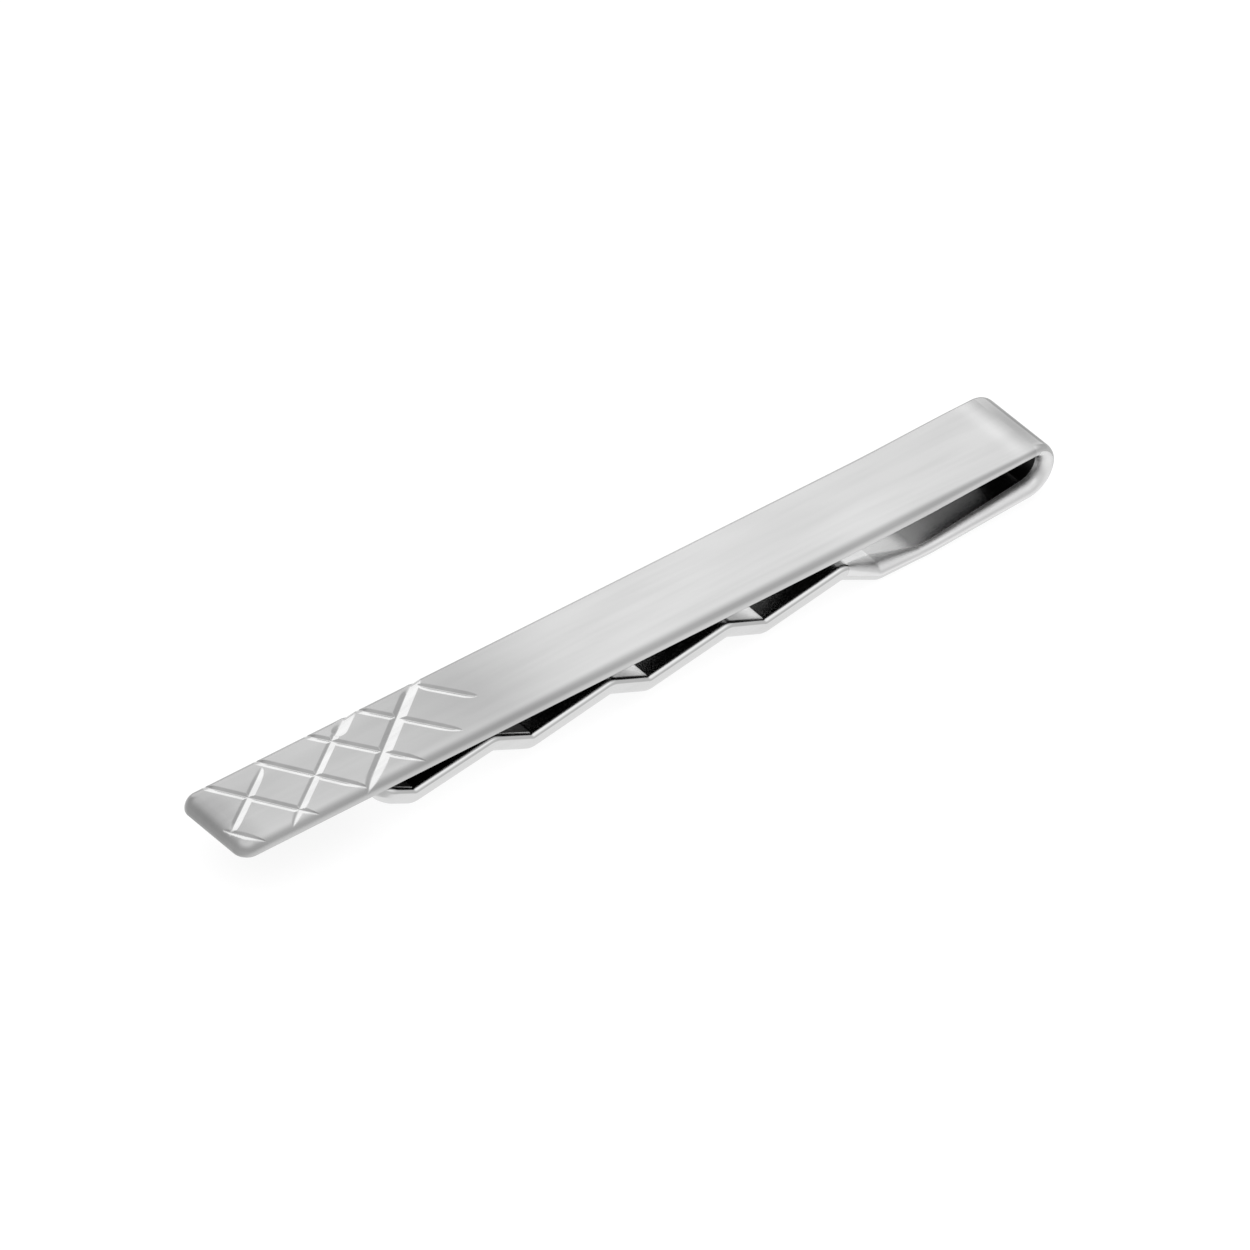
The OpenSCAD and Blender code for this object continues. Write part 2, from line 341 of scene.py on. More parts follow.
def leg_rings(s):
    """Rings of the leg: straight runs joined by round bends. The last rings narrow and thin in
    quarter circles, which rounds the tip."""
    line = leg_line(s)
    way = np.diff(line, axis=0)
    heading = np.unwrap(np.arctan2(way[:, 1], way[:, 0]))
    turn = np.diff(heading)
    steps = np.linspace(0, 1, BEND_RINGS)
    edges = (s.leg_edge, s.leg_edge, s.inner_edge, s.inner_edge, s.inner_wide)
    flared = {
        LOOP: (s.leg_edge, s.leg_edge, s.loop_flare * FLARE_SHARE, s.inner_edge, s.loop_flare),
        FIRST_VALLEY: (s.leg_edge, s.leg_edge, s.flare_drop, s.inner_edge, s.valley_flare),
    }
    rings = [with_sizes([[*line[0], heading[0]]], *fold_sizes(s))]
    rings[0][:, [NEAR_INNER, FLARE]] = s.flare_drop, s.fold_flare
    for k, bend in enumerate(turn):
        thick = s.fold_thickness if k == LOOP else s.thickness
        radius = (s.loop_bend if k == LOOP else s.bend) + thick / 2
        begin = line[k + 1] - radius * math.tan(abs(bend) / 2) * turned(heading[k])
        centre = begin + radius * turned(heading[k] + math.copysign(math.pi / 2, bend))
        arc = arc_rings(centre, radius, heading[k], bend, steps)
        rings.append(with_sizes(arc, s.width, thick, *flared.get(k, edges)))
    angle = np.linspace(0, math.pi / 2, TIP_RINGS)
    back = -s.tip_corner * (1 - np.sin(angle))
    place = line[-1] + back[:, None] * turned(heading[-1])
    tip = with_sizes(
        np.column_stack([place, np.full(len(angle), heading[-1])]),
        s.width, s.thickness, *edges)
    tip[:, WIDTH] -= 2 * s.tip_corner * (1 - np.cos(angle))
    edge = np.clip(1 + back / TIP_EDGE, 0, 1)
    tip[:, THICKNESS] -= 2 * TIP_EDGE * TIP_EDGE_SHARE * (1 - np.sqrt(1 - edge ** 2))
    return np.concatenate(rings + [tip])


# Most of the thickness that the two roundings on one side may take
ROUNDED_SHARE = 0.98


def edge_drop(edge, inner, thick):
    """How far an outer edge's rounding reaches down the side: as far as it reaches across the
    strip, or less where the inner edge's rounding needs the room."""
    return np.minimum(edge, ROUNDED_SHARE * thick - inner)


# Points in each rounded corner of the strip's section
QUARTER = 12


def section(rings):
    """Rounded rectangle for each ring, as offsets out of the strip and across it: four quarter
    ellipses joined by straight sides, from the far outer corner round the inner side to the near
    outer one."""
    width, thick, near, far, near_in, far_in, flare = rings[:, WIDTH:].T[..., None]
    quarter = np.repeat(np.arange(4), QUARTER)
    angle = (quarter + np.tile(np.linspace(0, 1, QUARTER), 4)) * math.pi / 2
    outer = np.where((quarter == 0) | (quarter == 3), 1, -1)
    side = np.where(quarter < 2, 1, -1)
    radius = np.repeat(np.hstack([far, far_in, flare, near]), QUARTER, axis=1)
    drop = np.repeat(np.hstack([
        edge_drop(far, far_in, thick), far_in, near_in, edge_drop(near, near_in, thick),
    ]), QUARTER, axis=1)
    out = outer * (thick / 2 - drop) + drop * np.cos(angle)
    across = side * (width / 2 - radius) + radius * np.sin(angle)
    return out, across


def swept_strip(rings):
    """Skin of a strip: each ring's section is set square to the middle line at its place."""
    x, z, heading = rings[:, :WIDTH].T[..., None]
    out, across = section(rings)
    return np.stack(
        [x - out * np.sin(heading), across, z + out * np.cos(heading) + FACE_Z], -1)


def grid_quads(rows, columns, closed=False, first=0):
    """Corner numbers of the quads of a grid, whose last column may join its first."""
    index = first + np.arange(rows * columns).reshape(rows, columns)
    following = np.roll(index, -1, axis=1) if closed else index[:, 1:]
    here = index if closed else index[:, :-1]
    return np.stack([here[:-1], following[:-1], following[1:], here[1:]], -1).reshape(-1, 4)


# Points closer than this are one, and edges that turn more than this are drawn sharp
MERGE = 0.0005 * MM
SHARP = math.radians(70)


def make_piece(name, points, faces, slots, materials, shares=None):
    """A mesh object from points and faces, whose doubles are merged and faces turned outwards.
    Shares are values for each point that the materials read, by name."""
    mesh = bpy.data.meshes.new(name)
    mesh.from_pydata(points.reshape(-1, 3).tolist(), [], faces)
    mesh.polygons.foreach_set("material_index", np.asarray(slots, np.int32))
    for key, values in (shares or {}).items():
        mesh.attributes.new(key, "FLOAT", "POINT").data.foreach_set("value", values)
    shell = bmesh.new()
    shell.from_mesh(mesh)
    bmesh.ops.remove_doubles(shell, verts=shell.verts, dist=MERGE)
    bmesh.ops.recalc_face_normals(shell, faces=shell.faces)
    shell.to_mesh(mesh)
    shell.free()
    mesh.polygons.foreach_set("use_smooth", np.ones(len(mesh.polygons), bool))
    mesh.set_sharp_from_angle(angle=SHARP)
    mesh.update()
    piece = bpy.data.objects.new(name, mesh)
    bpy.context.scene.collection.objects.link(piece)
    for material in materials:
        mesh.materials.append(material)
    return piece


# Material slots of the fold and the leg
SKIN, FLARE_HIGHLIGHT, DARK = range(3)
# A near inner rounding that reaches further than this takes the painted highlight
FLARE_HIGHLIGHT_FROM = 0.5 * MM


def strip_piece(name, rings, materials, dark_from):
    """A length of the strip with both ends closed. Its faces take the first material, but the wide
    near inner rounding takes the second, a painted highlight, and the inner side from one ring on
    takes the third, painted shade."""
    points = swept_strip(rings)
    rows, columns = points.shape[:2]
    quads = grid_quads(rows, columns, closed=True)
    slots = np.full((rows - 1, columns), SKIN)
    widest = np.maximum(rings[1:, FLARE], rings[:-1, FLARE])
    slots[widest > FLARE_HIGHLIGHT_FROM, 2 * QUARTER:3 * QUARTER] = FLARE_HIGHLIGHT
    slots[dark_from:, 2 * QUARTER - 1] = DARK
    ends = [list(range(columns)), list(range((rows - 1) * columns, rows * columns))]
    slots = np.concatenate([slots.reshape(-1), [SKIN, SKIN]])
    return make_piece(name, points, quads.tolist() + ends, slots, materials)


# Share of a cut's width that its right wall takes
RIGHT_SHARE = 0.66
# Shift of a leaning cut towards the fold, for each length that the skin drops over a rounded edge
LEAN_DRIFT = 1.0


def cut_rows(e):
    """For each cut: where it crosses the bar's middle, its direction, its ends in half widths, its
    walls' widths to the right and left, its drift on the rounded edges, and whether its left wall
    is the torn one, whose darker colour is painted shade."""
    start_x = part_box("front_bar")[0].x
    for k, (begin, stop, shift, turn) in enumerate(LEAN_CUTS):
        middle = (k - 1) * e.lean_pitch + shift * e.width
        place = start_x + e.lean_start + middle / math.cos(e.angle)
        direction = e.angle - math.pi / 2 + math.radians(turn)
        right = RIGHT_SHARE * e.width
        yield place, direction, (begin, stop), (right, e.width - right), LEAN_DRIFT, True
    for k, share, begin, stop, shift, turn in CROSS_CUTS:
        width = share * e.width
        right = RIGHT_SHARE * width
        middle = k * e.cross_pitch + shift * width - (right - width / 2)
        place = start_x + e.cross_start + middle / math.sin(e.angle)
        direction = e.angle + math.radians(turn)
        yield place, direction, (begin, stop), (right, width - right), 0, False


# A cut's fade is never longer than this share of the cut
MOST_FADE_SHARE = 0.25


def depth_share(e, along, direction, shares):
    """Share of its depth that a cut reaches at these distances along it. At an end that lies on the
    face it fades over a quarter of an ellipse, as a round tool leaves where it sinks in. At one
    past the strip's edge it keeps its depth. Beyond its ends the share is -1, over the face."""
    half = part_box("front_bar")[1].y
    ends = sorted(share * half / math.sin(direction) for share in shares)
    fade = min(e.fade, MOST_FADE_SHARE * (ends[1] - ends[0]))
    reached = np.ones(np.shape(along))
    for end, sign in ((ends[0], 1), (ends[1], -1)):
        inside = (along - end) * sign
        if abs(end * math.sin(direction)) > half:
            here = np.where(inside > 0, 1, -1)
        else:
            share = np.clip(inside / fade, 0, 1)
            here = np.sqrt(share * (2 - share)) - (share <= 0)
        reached = np.minimum(reached, here)
    return reached


# Width over which one wall's finish passes into the other's at the cut's bottom
CREASE = 0.05 * MM


def cuts_at(e, x, y, drop):
    """The cuts' floor at x and y, as a height over the face, and the shares there of the bright
    wall, whose lighter colour is a painted glint, and of the torn wall, whose darker colour is
    painted shade. A cut's floor is its depth times a difference: the distance to its line, as a
    share of the wall's width, less the share of its depth that it reaches. The line drifts by a
    share of the skin's drop. The lowest cut wins."""
    floor = np.full(np.shape(x), np.inf)
    bright, torn_shade = np.zeros(np.shape(x)), np.zeros(np.shape(x))
    for place, direction, shares, (right, left), drift, left_torn_shade in cut_rows(e):
        depth = (right + left) / 2 / math.tan(e.walls / 2)
        ahead = x - place - drift * drop
        along = ahead * math.cos(direction) + y * math.sin(direction)
        off = y * math.cos(direction) - ahead * math.sin(direction)
        reached = depth_share(e, along, direction, shares)
        height = depth * (np.where(off > 0, off / left, -off / right) - reached)
        lower = height < floor
        floor = np.where(lower, height, floor)
        on_left = np.clip(off / CREASE + 0.5, 0, 1)
        bright = np.where(lower, 1 - on_left, bright)
        torn_shade = np.where(lower, on_left * left_torn_shade, torn_shade)
    return floor, bright, torn_shade


# Where the bar's edges begin to sharpen towards the fold, and where they have done so, from the
# bar's end at the fold
NEAR_SHARPENS = (14 * MM, 1.5 * MM)
FAR_SHARPENS = (10 * MM, 0.5 * MM)


def edge_radii(s, x, y, end_x):
    """Radii of the face's edge and of the underside's: the bar's own by the engraving, then a
    smooth step to those in the fold. Round the free end the underside's passes evenly from the near
    edge's to the far edge's."""
    def toward(first, last, sharpens):
        return first + (last - first) * smooth(
            (x - end_x + sharpens[0]) / (sharpens[0] - sharpens[1]))
    edge = np.where(
        y > 0, toward(s.bar_edge, s.far_edge, FAR_SHARPENS),
        toward(s.bar_edge, s.near_edge, NEAR_SHARPENS))
    near_share = 0.5 - y / (s.width - 2 * s.corner)
    under = s.far_under + near_share * (
        toward(s.under_edge, s.fold_under, NEAR_SHARPENS) - s.far_under)
    return edge, under


# Points round the underside's edge, round the face's edge, and on the flat beside that
UNDER_STEPS, EDGE_STEPS, FLAT_STEPS = 7, 23, 3


def bar_profile(s, edge, under, thick):
    """Half of the bar's section at each row of its band, as insets from the outline and heights
    under the face. It goes from the inner side, round its edge, up the wall and over the face's
    edge to the flat of the face."""
    edge, under, thick = edge[:, None], under[:, None], thick[:, None]
    none = np.zeros_like(edge)
    low = np.linspace(0, math.pi / 2, UNDER_STEPS)
    top = np.linspace(0, math.pi / 2, EDGE_STEPS)
    flat = np.linspace(0, 1, FLAT_STEPS + 1)[1:]
    drop = edge_drop(edge, under, thick)
    inset = np.hstack([
        none + s.corner, under * (1 - np.sin(low)), none,
        edge * (1 - np.cos(top)), edge + (s.corner - edge) * flat])
    height = np.hstack([
        -thick, under * (1 - np.cos(low)) - thick, (under - thick - drop) / 2,
        -drop * (1 - np.sin(top)), none * flat])
    return inset, height


# Steps round each corner of the free end
CORNER_STEPS = 26


def bar_outline(x, y):
    """Outline of the grid in x and y, and the direction that leads outwards at each of its points.
    It runs along the near side to the free end, round that and back along the far side. Each corner
    is one point, repeated while its direction makes a quarter turn."""
    reach = y[-1]
    turn = np.linspace(0, math.pi / 2, CORNER_STEPS + 1)[1:-1]
    base = np.concatenate([
        np.column_stack([x[::-1], np.full(len(x), -reach)]),
        np.tile([x[0], -reach], (len(turn), 1)),
        np.column_stack([np.full(len(y), x[0]), y]),
        np.tile([x[0], reach], (len(turn), 1)),
        np.column_stack([x, np.full(len(x), reach)]),
    ])
    away = np.concatenate([
        np.tile([0.0, -1.0], (len(x), 1)),
        np.column_stack([-np.sin(turn), -np.cos(turn)]),
        np.tile([-1.0, 0.0], (len(y), 1)),
        np.column_stack([-np.cos(turn), np.sin(turn)]),
        np.tile([0.0, 1.0], (len(x), 1)),
    ])
    return base, away


# Distance between the grid's lines where the face is engraved, and beyond that, and how far the
# engraving reaches from the free end
FINE = 0.04 * MM
COARSE = 1 * MM
ENGRAVED = 19 * MM


def bar_surface(s, e):
    """The bar as two grids, with five values for each point: x, y, z, and then the shares of the
    bright wall, with a painted glint, and of the torn wall, with painted shade. The face is a grid
    in x and y, lowered to the cuts' floor. The band round it is the outline moved in by each inset
    of the profile, at that inset's height. There the tool sinks by a share of the skin's drop, so
    that a cut runs out on the rounding."""
    low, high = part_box("front_bar")
    x = np.concatenate([
        np.linspace(low.x + s.corner, low.x + ENGRAVED, int((ENGRAVED - s.corner) / FINE)),
        np.arange(low.x + ENGRAVED + COARSE, high.x - COARSE / 2, COARSE),
        [high.x],
    ])
    reach = s.width / 2 - s.corner
    y = np.linspace(-reach, reach, int(2 * reach / FINE))
    base, away = bar_outline(x, y)
    thinned = np.clip((base[:, 0] - (high.x - s.thinning)) / s.thinning, 0, 1)
    thick = s.thickness - thinned * (s.thickness - s.fold_thickness)
    edge, under = edge_radii(s, base[:, 0], base[:, 1], high.x)
    inset, height = bar_profile(s, edge, under, thick)
    plan = base[:, None] + away[:, None] * (s.corner - inset)[..., None]
    band = engraved(e, plan[..., 0], plan[..., 1], height)
    grid_x, grid_y = np.meshgrid(x, y, indexing="ij")
    face = engraved(e, grid_x, grid_y, np.zeros(grid_x.shape))
    return band, face, len(x)


# Share of the skin's drop over a rounded edge by which the tool sinks there
TOOL_SINKS = 0.75
# Depth at which a wall shows its own finish in full
WALL_SHOWS = 0.012 * MM


def engraved(e, x, y, height):
    """Points of the skin at these heights over the face, lowered where a cut lies deeper, with the
    shares of the cut's two walls: the bright one with a painted glint, the torn one with painted
    shade."""
    floor, bright, torn_shade = cuts_at(e, x, y, -height)
    cut = np.minimum(floor - (1 - TOOL_SINKS) * height, 0)
    shown = np.clip(-cut / WALL_SHOWS, 0, 1)
    return np.dstack([x, y, height + cut + FACE_Z, bright * shown, torn_shade * shown])


# Material slots of the bar
ENGRAVED_SIDE, UNDERSIDE = range(2)
# Attributes that hold the shares of a cut's two walls: one with a painted glint, one with painted
# shade
GLINT_WALL, TORN_SHADE = "bright", "torn_shade"


def bar_piece(s, e, materials):
    """The bar's band and face joined, with its inner side and its end at the fold closed. The
    attributes hold the shares of the cuts' two walls at each point: a painted glint and painted
    shade."""
    band, face, count = bar_surface(s, e)
    around, deep = band.shape[:2]
    base = around * deep
    values = np.concatenate([band.reshape(base, -1), face.reshape(-1, face.shape[2])])
    band_quads = grid_quads(around, deep)
    face_quads = grid_quads(*face.shape[:2], first=base)

    # The underside joins the band's first points: near ones to far ones, and round the free end
    near = np.arange(count)[::-1] * deep
    far = (np.arange(count) + around - count) * deep
    under = np.stack([near[1:-1], near[2:], far[2:], far[1:-1]], -1)
    end = np.arange(count - 1, around - count + 1) * deep
    first = [near[1], *end.tolist(), far[1]]
    # The end at the fold goes up the near side, across the face and down the far side
    last_row = base + (count - 1) * face.shape[1] + np.arange(face.shape[1])
    cap = [*range(deep), *last_row.tolist(), *range(base - 1, base - deep - 1, -1)]
    faces = band_quads.tolist() + face_quads.tolist() + under.tolist() + [first, cap]

    slots = np.full(len(faces), ENGRAVED_SIDE)
    slots[:len(band_quads):deep - 1] = UNDERSIDE
    slots[-len(under) - 2:-1] = UNDERSIDE
    shares = {GLINT_WALL: values[:, 3], TORN_SHADE: values[:, 4]}
    return make_piece("bar_engraved", values[:, :3], faces, slots, materials, shares=shares)


# Materials


def add_node(tree, kind, settings=None, inputs=None):
    """Adds a node, sets what it says, and fills its inputs with values or with links."""
    node = tree.nodes.new(kind)
    for key, value in (settings or {}).items():
        setattr(node, key, value)
    for key, value in (inputs or {}).items():
        if isinstance(value, bpy.types.NodeSocket):
            tree.links.new(value, node.inputs[key])
        else:
            node.inputs[key].default_value = value
    return node


# Noise stays mostly between these two values
NOISE_LOW, NOISE_HIGH = 0.3, 0.7


def marks(tree, place, along, across, detail, change):
    """Marks about this long along the bar and this wide across it, in metres: the noise that draws
    them, and a tone round 1 that they change by up to this share."""
    scaled = add_node(
        tree, "ShaderNodeMapping", None,
        {"Vector": place, "Scale": (1 / along, 1 / across, 1 / across)})
    noise = add_node(
        tree, "ShaderNodeTexNoise", None,
        {"Vector": scaled.outputs["Vector"], "Scale": 1.0, "Detail": detail}).outputs["Fac"]
    tone = add_node(
        tree, "ShaderNodeMapRange", None,
        {"Value": noise, "From Min": NOISE_LOW, "From Max": NOISE_HIGH,
         "To Min": 1 - change, "To Max": 1 + change}).outputs["Result"]
    return noise, tone


# Tone where none of a piece's painted light and shade shows
PLAIN_TONE = 0.905
# Painted light and shade on the satin along the bar, from its free end to the fold: painted shade
# darkens the end and the stretch beside the broad cut, the middle keeps its plain tone, and a
# painted highlight lies before the fold, from which painted shade rolls off
BAR_PAINTED_LIGHT = (
    (0.0, 0.58), (0.022, 0.58), (0.038, 0.72), (0.17, 0.715), (0.29, 0.606), (0.35, 0.64),
    (0.45, 0.905), (0.6, 0.905), (0.96, 0.85), (0.974, 0.86), (0.983, 0.99), (0.99, 0.85),
    (0.995, 0.72), (1.0, 0.6))
# Share of that painted light and shade across the bar: less of it shows on the rounded edges
BAR_PAINTED_LIGHT_ACROSS = ((0.0, 0.3), (0.15, 1.0), (0.85, 1.0), (1.0, 0.6))
# The same for the fold: painted shade on its outer skin, where its highlight rolls off, but not on
# its sides
FOLD_PAINTED_SHADE = ((0.0, 0.56), (0.25, 0.55), (0.38, 0.47), (0.55, 0.46), (0.8, 0.5), (1.0, 0.6))
FOLD_PAINTED_SHADE_ACROSS = ((0.0, 0.0), (0.1, 1.0), (0.6, 1.0), (1.0, 0.4))
# And for the bar's underside: painted shade darkens it, most by the fold, and a painted reflection
# lightens it above the flat beside the loop, which that flat mirrors
UNDERSIDE_SHADE_AND_SHEEN = (
    (0.0, 0.22), (0.785, 0.22), (0.8, 1.0), (0.872, 1.0), (0.888, 0.2), (0.94, 0.13), (1.0, 0.04))
UNDERSIDE_SHADE_AND_SHEEN_ACROSS = ((0.0, 1.0), (1.0, 1.0))


def fill_ramp(node, rows, interpolation="LINEAR"):
    """Fills a colour ramp with rows of place and colour."""
    ramp = node.color_ramp
    ramp.interpolation = interpolation
    for at, _ in rows[1:-1]:
        ramp.elements.new(at)
    for element, (at, value) in zip(ramp.elements, rows):
        element.position = at
        element.color = value


def painted_light_tone(tree, place, part, along, across):
    """Painted light and shade at a place on a piece: rows of tone along its box, and rows of how
    much of that shows across it."""
    low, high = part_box(part)
    axes = add_node(tree, "ShaderNodeSeparateXYZ", None, {0: place}).outputs
    found = []
    for axis, first, last, rows in (("X", low.x, high.x, along), ("Y", low.y, high.y, across)):
        share = add_node(
            tree, "ShaderNodeMapRange", None,
            {"Value": axes[axis], "From Min": first, "From Max": last}).outputs["Result"]
        ramp = add_node(tree, "ShaderNodeValToRGB", None, {"Fac": share})
        fill_ramp(ramp, [(at, (tone, tone, tone, 1)) for at, tone in rows], "B_SPLINE")
        found.append(ramp.outputs["Color"])
    return add_node(
        tree, "ShaderNodeMapRange", None,
        {"Value": found[1], "To Min": PLAIN_TONE, "To Max": found[0]}).outputs["Result"]


# How many times longer than wide the fine streaks are, and their detail
FINE_LENGTH, FINE_DETAIL = 50, 3.0
# Length and width of the broad streaks and of the patches, and their detail
BROAD = (8 * MM, 0.5 * MM)
PATCHES = (9 * MM, 2.5 * MM)
SOFT_DETAIL = 1.0
# Change of roughness from streak to streak, and of tone along a cut's wall
ROUGHNESS_CHANGE = 0.2
WALL_CHANGE = 0.05


def cut_walls(tree, place, tint, rough, walls):
    """Colour and roughness of a skin whose cuts have finishes of their own. Walls are rows of an
    attribute, a colour and a roughness, which take over where the attribute is 1."""
    for attribute, base, roughness in walls:
        share = add_node(
            tree, "ShaderNodeAttribute", {"attribute_name": attribute}).outputs["Fac"]
        uneven = marks(tree, place, *BROAD, SOFT_DETAIL, WALL_CHANGE)[1]
        wall = add_node(
            tree, "ShaderNodeVectorMath", {"operation": "SCALE"},
            {0: base, "Scale": uneven}).outputs[0]
        # A Mix node takes two numbers at its sockets 2 and 3, and two vectors at 4 and 5
        tint = add_node(
            tree, "ShaderNodeMix", {"data_type": "VECTOR"}, {0: share, 4: tint, 5: wall}).outputs[1]
        rough = add_node(
            tree, "ShaderNodeMix", {"data_type": "FLOAT"},
            {0: share, 2: rough, 3: roughness}).outputs[0]
    return tint, rough


def steel(name, base, roughness, streak, grain, bump=0, haze=0, painted_light=None, walls=()):
    """A bare steel of a base colour. Fine streaks run along the strip: streak is their change of
    tone, grain their width in metres and bump their depth in metres. Haze is the change of tone in
    broad patches. The next argument holds a part and its tones of painted light and shade along and
    across it, and walls the finishes of its cuts."""
    material = bpy.data.materials.get(name) or bpy.data.materials.new(name)
    material.use_nodes = True
    tree = material.node_tree
    tree.nodes.clear()
    place = add_node(tree, "ShaderNodeTexCoord").outputs["Object"]
    fine, fine_tone = marks(tree, place, FINE_LENGTH * grain, grain, FINE_DETAIL, streak / 2)
    tones = [fine_tone, marks(tree, place, *BROAD, SOFT_DETAIL, streak)[1]]
    if haze:
        tones.append(marks(tree, place, *PATCHES, SOFT_DETAIL, haze)[1])
    if painted_light:
        tones.append(painted_light_tone(tree, place, *painted_light))
    tone = 1.0
    for layer in tones:
        tone = add_node(
            tree, "ShaderNodeMath", {"operation": "MULTIPLY"}, {0: tone, 1: layer}).outputs[0]
    tint = add_node(
        tree, "ShaderNodeVectorMath", {"operation": "SCALE"},
        {0: base, "Scale": tone}).outputs[0]
    rough = add_node(
        tree, "ShaderNodeMapRange", None,
        {"Value": fine, "From Min": NOISE_LOW, "From Max": NOISE_HIGH,
         "To Min": roughness * (1 - ROUGHNESS_CHANGE),
         "To Max": roughness * (1 + ROUGHNESS_CHANGE)}).outputs["Result"]
    tint, rough = cut_walls(tree, place, tint, rough, walls)
    surface = {"Base Color": tint, "Metallic": 1.0, "Roughness": rough}
    if bump:
        surface["Normal"] = add_node(
            tree, "ShaderNodeBump", None,
            {"Height": fine, "Strength": 1.0, "Distance": bump}).outputs["Normal"]
    shader = add_node(tree, "ShaderNodeBsdfPrincipled", None, surface)
    add_node(tree, "ShaderNodeOutputMaterial", None, {"Surface": shader.outputs["BSDF"]})
    return material


def brushed_steel_with_painted_light(colours):
    """Satin brushing along the bar: soft streaks, drawn coarser than the real 0.03 mm grit, under
    painted light and shade along the bar. In the cuts, the wall that the back of the graver
    burnished is smoother and a lighter colour paints a glint on it, and the one that its tip tore
    is rougher and a darker colour paints shade on it, which draws a dark line."""
    return steel(
        "Brushed stainless steel with painted light and shade", colours.brushed, roughness=0.22, streak=0.02, grain=0.14 * MM,
        bump=0.0003 * MM, haze=0.05, painted_light=("front_bar", BAR_PAINTED_LIGHT, BAR_PAINTED_LIGHT_ACROSS),
        walls=((GLINT_WALL, colours.burnished_glint, 0.14), (TORN_SHADE, colours.torn_shade, 0.25)))


def painted_underside_steel(colours):
    """The bar's underside: painted shade darkens it so that the gap looks deep, and a painted
    reflection makes one bright stretch that shows in the loop."""
    return steel(
        "Underside steel with painted shade and sheen", colours.painted_underside, roughness=0.15, streak=0.03, grain=0.2 * MM,
        painted_light=("front_bar", UNDERSIDE_SHADE_AND_SHEEN, UNDERSIDE_SHADE_AND_SHEEN_ACROSS))


def fold_steel_with_painted_light(colours):
    """Polished before it was bent: a lighter colour paints the highlight on the fold, and painted
    shade rolls it off on the outer skin.
    """
    return steel(
        "Fold steel with painted highlight and shade", colours.fold_highlight, roughness=0.14, streak=0.015,
        grain=0.3 * MM, painted_light=("spring_fold", FOLD_PAINTED_SHADE, FOLD_PAINTED_SHADE_ACROSS))


def flare_highlight_steel(colours):
    """A lighter colour on the wide inner rounding inside the loop: a painted broad soft highlight
    on the inner edge.
    """
    return steel(
        "Steel with painted flare highlight", colours.flare_highlight, roughness=0.45, streak=0.02, grain=0.3 * MM)


def polished_steel(colours):
    """Tumbled and polished: the leg mirrors the room softly."""
    return steel(
        "Polished stainless steel", colours.polished, roughness=0.14, streak=0.015,
        grain=0.3 * MM)


def gap_shade_steel(colours):
    """Painted shade: a dark colour for the black inside of the fold and of the zigzag."""
    return steel(
        "Steel painted with gap shade", colours.painted_gap_shade, roughness=0.35, streak=0.03,
        grain=0.2 * MM)


# Operators


class TIECLIP_OT_bar(bpy.types.Operator):
    """Builds the engraved bar"""

    bl_idname = "tieclip.bar"
    bl_label = "Engraved bar"

    def execute(self, context):
        scene = context.scene
        finishes = (brushed_steel_with_painted_light(scene.clip_colours), painted_underside_steel(scene.clip_colours))
        piece = bar_piece(scene.clip_strip, scene.clip_engraving, finishes)
        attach(piece, "front")
        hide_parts("front_bar")
        return {"FINISHED"}


class TIECLIP_OT_fold(bpy.types.Operator):
    """Builds the spring fold, which bends between the bar and the leg"""

    bl_idname = "tieclip.fold"
    bl_label = "Spring fold"

    def execute(self, context):
        s, colours = context.scene.clip_strip, context.scene.clip_colours
        finishes = (fold_steel_with_painted_light(colours), flare_highlight_steel(colours), gap_shade_steel(colours))
        piece = strip_piece("fold_polished", fold_rings(s), finishes, dark_from=0)
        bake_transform(piece)
        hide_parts("spring_fold")
        return {"FINISHED"}


class TIECLIP_OT_leg(bpy.types.Operator):
    """Builds the zigzag grip leg"""

    bl_idname = "tieclip.leg"
    bl_label = "Grip leg"

    def execute(self, context):
        s, colours = context.scene.clip_strip, context.scene.clip_colours
        finishes = (polished_steel(colours), flare_highlight_steel(colours), gap_shade_steel(colours))
        piece = strip_piece(
            "leg_zigzag", leg_rings(s), finishes, dark_from=1 + DARK_VALLEY * BEND_RINGS)
        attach(piece, "leg")
        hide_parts("grip_leg")
        return {"FINISHED"}


class TIECLIP_OT_stage(bpy.types.Operator):
    """Makes the floor, the light and the camera"""

    bl_idname = "tieclip.stage"
    bl_label = "Stage"

    def execute(self, context):
        settings = context.scene.clip_stage
        make_floor(settings.floor)
        make_world(context.scene)
        make_camera(context.scene, settings)
        context.scene.view_settings.view_transform = "Standard"
        return {"FINISHED"}


# Tone of the paper that the steel mirrors, beside the clip and beyond this far from it
PAPER_TONE, ROOM_TONE = 0.85, 0.6
PAPER_NEAR, PAPER_FAR = 4 * MM, 22 * MM
# How much sooner the paper greys past the clip's two ends than beside it
PAPER_ENDS = 3.0
# What is seen of the paper: its own glow, and the grey that light and shadow fall on
PAPER_GLOW = 0.82
PAPER_LIT = "8C8C8C"
# What it gives back to all but the camera and the steel
PAPER_PLAIN = "F0F0F0"


